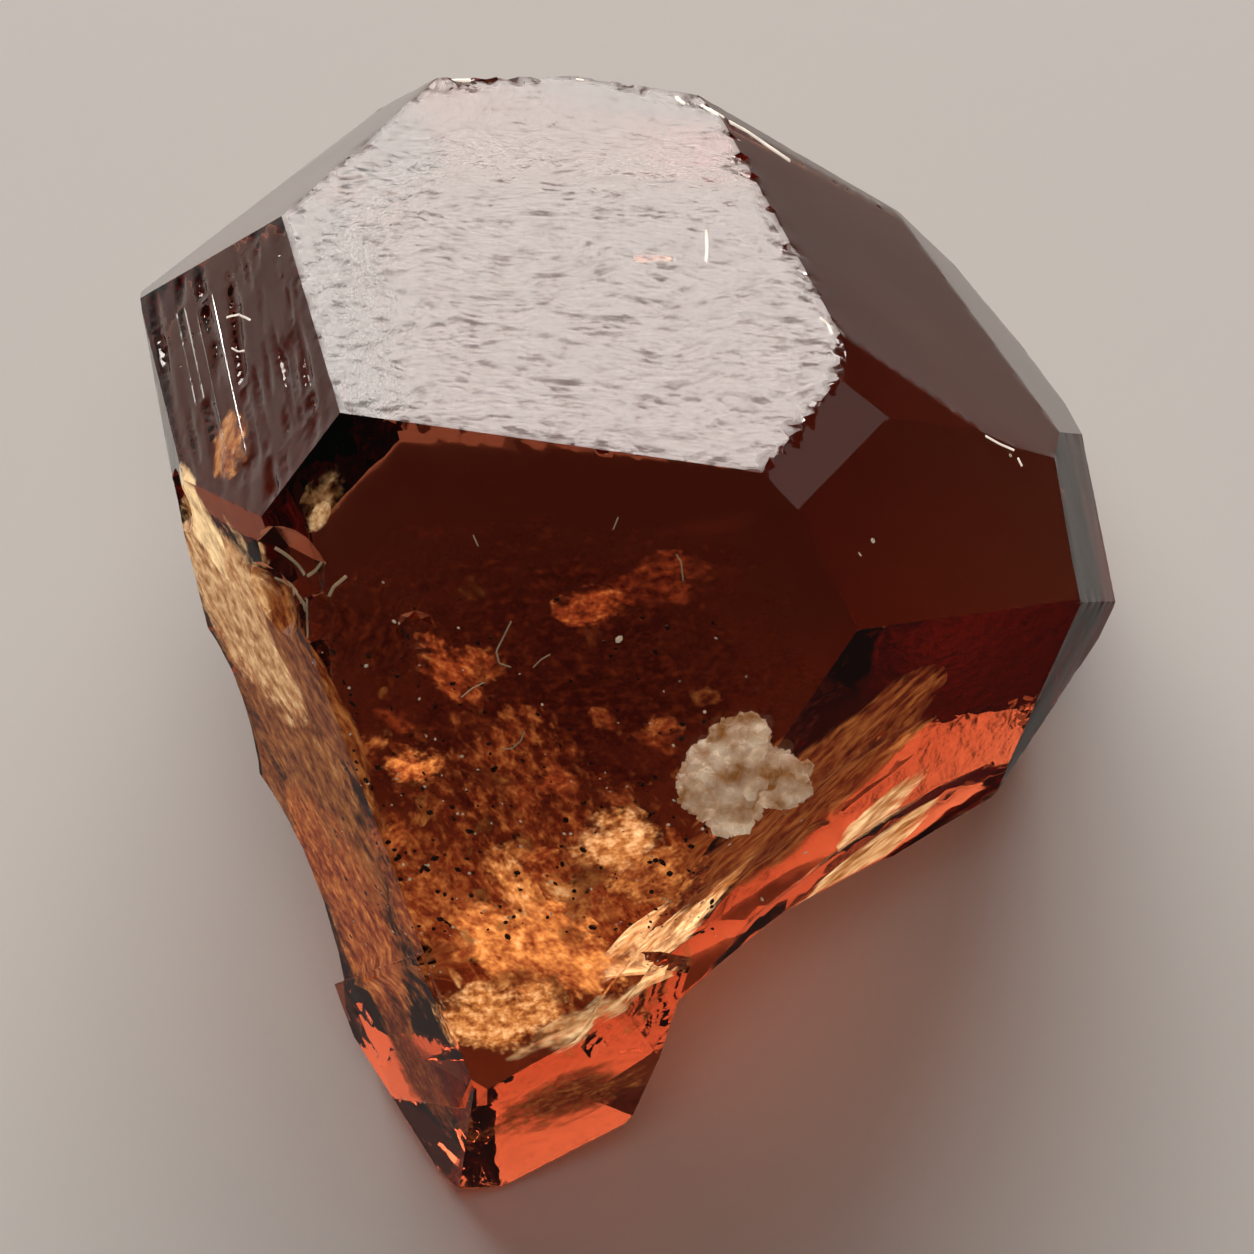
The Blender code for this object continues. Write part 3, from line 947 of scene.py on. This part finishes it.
# Glints of the chipped rims and scratches, each a radius in mm and the pixels that it passes. They stand a
# little out of the surface and give off light, which stands in for what they mirror in the photograph.
RIM_GLINTS = (
    (0.10, ((730, 121), (748, 131), (768, 145), (790, 160))),
    (0.06, ((702, 107), (716, 112), (724, 117))),
    (0.05, ((676, 99), (684, 103))),
    (0.05, ((452, 80), (462, 79), (470, 80))),
    (0.04, ((488, 76), (498, 76))),
    (0.03, ((576, 79), (584, 80))),
    (0.03, ((706, 230), (707, 246), (706, 262))),
    (0.03, ((228, 318), (240, 314), (250, 320))),
    (0.025, ((232, 348), (238, 352), (246, 350))),
    (0.04, ((820, 318), (828, 324), (832, 334))),
    (0.03, ((986, 436), (1000, 444), (1014, 450))),
    (0.03, ((1018, 458), (1022, 466))),
)


@dataclass
class GrainCluster:
    """The cluster of clear sugary grains that grew on the front edge.

    Attributes:
        lumps: Centre and half sizes of each lump, in mm.
        proud: How far the lumps stand out of the solid's own, in mm.
        cell: Size of the net that joins the lumps, in mm.
        grains: How many grains there are on a square mm of a lump.
        sizes: The least and largest radius of a grain, in mm.
        seed: The seed of the grains' places and shapes.
    """

    lumps: tuple[tuple[tuple[float, float, float], tuple[float, float, float], float], ...] = (
        ((2.486, -5.741, 12.50), (1.05, 0.85, 0.80), 20.0),
        ((2.686, -5.141, 13.10), (0.65, 0.55, 0.50), 55.0),
        ((3.636, -5.691, 12.00), (0.72, 0.60, 0.55), -15.0),
        ((1.786, -6.191, 12.50), (0.55, 0.50, 0.48), 70.0),
        ((2.536, -6.541, 12.00), (0.60, 0.50, 0.45), 35.0),
    )
    proud: float = 0.06
    cell: float = 0.07
    grains: float = 15.0
    sizes: tuple[float, float] = (0.09, 0.27)
    seed: int = 17

    def build(self, finish: bpy.types.Material) -> None:
        """Make the cluster.

        Args:
            finish: The grains' material.
        """
        bm = bmesh.new()
        places = []
        for centre, half, turn in self.lumps:
            sizes = Matrix.Diagonal(((half[0] + self.proud) * MM, (half[1] + self.proud) * MM,
                                     (half[2] + self.proud) * MM, 1.0))
            spin = Matrix.Rotation(math.radians(turn), 4, "Z")
            place = Matrix.Translation(Vector(centre) * MM) @ spin @ sizes
            bmesh.ops.create_icosphere(bm, subdivisions=3, radius=1.0, matrix=place)
            places.append((place, round(self.grains * 4 * math.pi * half[0] * half[1])))
        rough = bpy.data.meshes.new("lumps")
        bm.to_mesh(rough)
        bm.free()
        holder = bpy.data.objects.new("lumps", rough)
        bpy.context.scene.collection.objects.link(holder)
        net = holder.modifiers.new("joined", "REMESH")
        net.mode = "VOXEL"
        net.voxel_size = self.cell * MM
        graph = bpy.context.evaluated_depsgraph_get()
        bm = bmesh.new()
        bm.from_mesh(holder.evaluated_get(graph).to_mesh())
        bpy.data.objects.remove(holder)
        dice = random.Random(self.seed)
        for place, count in places:
            for _ in range(count):
                way = Vector((dice.gauss(0, 1), dice.gauss(0, 1), dice.gauss(0, 1))).normalized()
                radius = dice.uniform(*self.sizes) * MM
                turn = Matrix.Rotation(dice.uniform(0, math.tau), 4,
                                       Vector((dice.gauss(0, 1), dice.gauss(0, 1), 1.0)))
                stretch = Matrix.Diagonal((dice.uniform(0.7, 1.3), 1.0, dice.uniform(0.6, 1.0), 1.0))
                bmesh.ops.create_icosphere(bm, subdivisions=1, radius=radius,
                                           matrix=Matrix.Translation(place @ way) @ turn @ stretch)
        finished("clear_grains", bm, finish)


@dataclass
class Studio:
    """The floor, the soft lights and the camera.

    Attributes:
        sight: The camera's place.
        sensor: The camera's sensor width, in mm.
        floor_radius: The round floor's radius, in mm.
        floor_gap: How far the floor lies under the crystal, in mm.
        floor_colour: The floor's colour.
        light_colour: The softboxes' warm white.
        sheet_look: Bearing and rise of the pale sheet that the steep faces mirror instead of the floor.
        room: How bright the room is.
        sheet: How bright the middle of the sheet is.
    """

    sight: Sight
    sensor: float = 36.0
    floor_radius: float = 355.0
    floor_gap: float = 0.02
    floor_colour: str = "#F3F1EE"
    light_colour: str = "#FFF7F0"
    sheet_look: tuple[float, float] = (115.0, -35.0)
    room: float = 0.03
    sheet: float = 0.72

    def build(self) -> None:
        """Build the whole studio."""
        self.floor()
        self.camera()
        self.world()
        self.softbox("low back softbox", (96.0, 13.0), 1000.0, (1150.0, 360.0), 10.8)
        self.softbox("high back softbox", (100.0, 40.0), 1000.0, (1150.0, 420.0), 2.8)
        self.softbox("right card", (22.0, 14.0), 1000.0, (420.0, 360.0), 0.45)
        self.softbox("overhead", (-90.0, 88.0), 1100.0, (520.0, 520.0), 0.10, spread=50.0)

    def floor(self) -> None:
        """Lay the pale floor just under the crystal."""
        bm = bmesh.new()
        bmesh.ops.create_circle(bm, cap_ends=True, segments=96, radius=self.floor_radius * MM)
        bmesh.ops.translate(bm, verts=bm.verts, vec=(0, 0, -self.floor_gap * MM))
        mesh = bpy.data.meshes.new("floor")
        bm.to_mesh(mesh)
        bm.free()
        material = bpy.data.materials.new("pale matt floor")
        material.use_nodes = True
        shader = material.node_tree.nodes["Principled BSDF"]
        shader.inputs["Base Color"].default_value = linear(self.floor_colour)
        shader.inputs["Roughness"].default_value = 0.9
        mesh.materials.append(material)
        floor = bpy.data.objects.new("floor", mesh)
        bpy.context.scene.collection.objects.link(floor)
        # Mirrored rays pass through the floor, so the steep faces show the room's pale sheet instead of it.
        floor.visible_glossy = False

    def camera(self) -> None:
        """Place the camera and make it the scene's own."""
        data = bpy.data.cameras.new("camera")
        data.sensor_width = self.sensor
        data.lens = self.sensor * self.sight.distance / self.sight.frame_width
        data.clip_start = 0.01
        data.clip_end = 20.0
        camera = bpy.data.objects.new("camera", data)
        camera.location = (self.sight.target + self.sight.back * self.sight.distance) * MM
        camera.rotation_euler = (-self.sight.back).to_track_quat("-Z", "Y").to_euler()
        bpy.context.scene.collection.objects.link(camera)
        bpy.context.scene.camera = camera

    def world(self) -> None:
        """Give the room its dim light, and set how deep the light's paths go and how the picture is shown."""
        scene = bpy.context.scene
        world = bpy.data.worlds.new("dim room with a pale sheet behind the crystal")
        world.use_nodes = True
        world.cycles.sampling_method = "NONE"
        tree = world.node_tree
        background = tree.nodes["Background"]
        background.inputs["Color"].default_value = linear("#FFF6EC")
        way = add_node(tree, "ShaderNodeTexCoord", {}).outputs["Generated"]
        sheet = add_node(tree, "ShaderNodeVectorMath", {0: way, 1: toward(*self.sheet_look)},
                         operation="DOT_PRODUCT")
        light = add_node(tree, "ShaderNodeMapRange", {
            "Value": sheet.outputs["Value"], "From Min": math.cos(math.radians(60.0)),
            "From Max": math.cos(math.radians(18.0)), "To Min": self.room, "To Max": self.sheet},
            interpolation_type="SMOOTHSTEP")
        tree.links.new(light.outputs[0], background.inputs["Strength"])
        scene.world = world
        scene.view_settings.view_transform = "Standard"
        scene.cycles.max_bounces = 7
        scene.cycles.diffuse_bounces = 1
        scene.cycles.glossy_bounces = 4
        scene.cycles.transmission_bounces = 5
        scene.cycles.transparent_max_bounces = 6
        scene.cycles.caustics_reflective = False
        scene.cycles.use_light_tree = False
        scene.cycles.adaptive_threshold = 0.1

    def softbox(self, name: str, look: tuple[float, float], away: float, size: tuple[float, float],
                radiance: float, spread: float = 180.0) -> None:
        """Hang a softbox that faces the crystal.

        Args:
            name: The light's name.
            look: Bearing and rise of the light from the crystal, in degrees.
            away: Its distance, in mm.
            size: Its width and height, in mm.
            radiance: How bright its face is; a white floor in full light is about one.
            spread: The angle that it shines into, in degrees.
        """
        data = bpy.data.lights.new(name, "AREA")
        data.shape = "RECTANGLE"
        data.size, data.size_y = (side * MM for side in size)
        data.energy = radiance * math.pi * data.size * data.size_y
        data.spread = math.radians(spread)
        data.color = linear(self.light_colour)[:3]
        light = bpy.data.objects.new(name, data)
        out = toward(*look)
        light.location = (self.sight.target + out * away) * MM
        light.rotation_euler = out.to_track_quat("Z", "Y").to_euler()
        light.visible_camera = False
        bpy.context.scene.collection.objects.link(light)


def main() -> None:
    """Build every piece in order."""
    logging.basicConfig(level=logging.INFO, format="%(name)s: %(message)s")
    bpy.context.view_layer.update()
    sight = Sight()
    inside = Inside(sight)
    Studio(sight).build()
    Crystal().build(TopazFinish().build())
    HealedFractures(inside).build(FractureFinish().build())
    pale = SpeckFinish("pale sealed specks", "#F6E6C8", 0.5).build()
    dark = SpeckFinish("dark sealed specks", "#1C0C08", 0.0).build()
    # Single pale specks where bright points of light show; their glow is a painted highlight.
    glint_specks = (((617, 646), 0.09), ((876, 540), 0.09), ((872, 552), 0.05), ((1012, 455), 0.05))
    Specks(inside, "pale_specks", 150, (0.018, 0.05), 3, extra=glint_specks).build(pale)
    Specks(inside, "dark_specks", 260, (0.02, 0.09), 5, area=(330, 560, 720, 940)).build(dark)
    # The fibres' pale colour is their own; their glow is painted light for the bright strokes that the
    # fracture rims catch.
    Fibres(inside).build(SpeckFinish("pale fibres", "#E8C9A0", 0.35).build())
    # The chipped rims' glints: glowing threads, painted highlights that stand in for mirrored light.
    bright = SpeckFinish("painted rim glints", "#FFF2E2", 1.5).build()
    Fibres(inside, "painted_rim_glints", -0.02, RIM_GLINTS).build(bright)
    GrainCluster().build(GrainFinish().build())


if __name__ == "__main__":
    main()
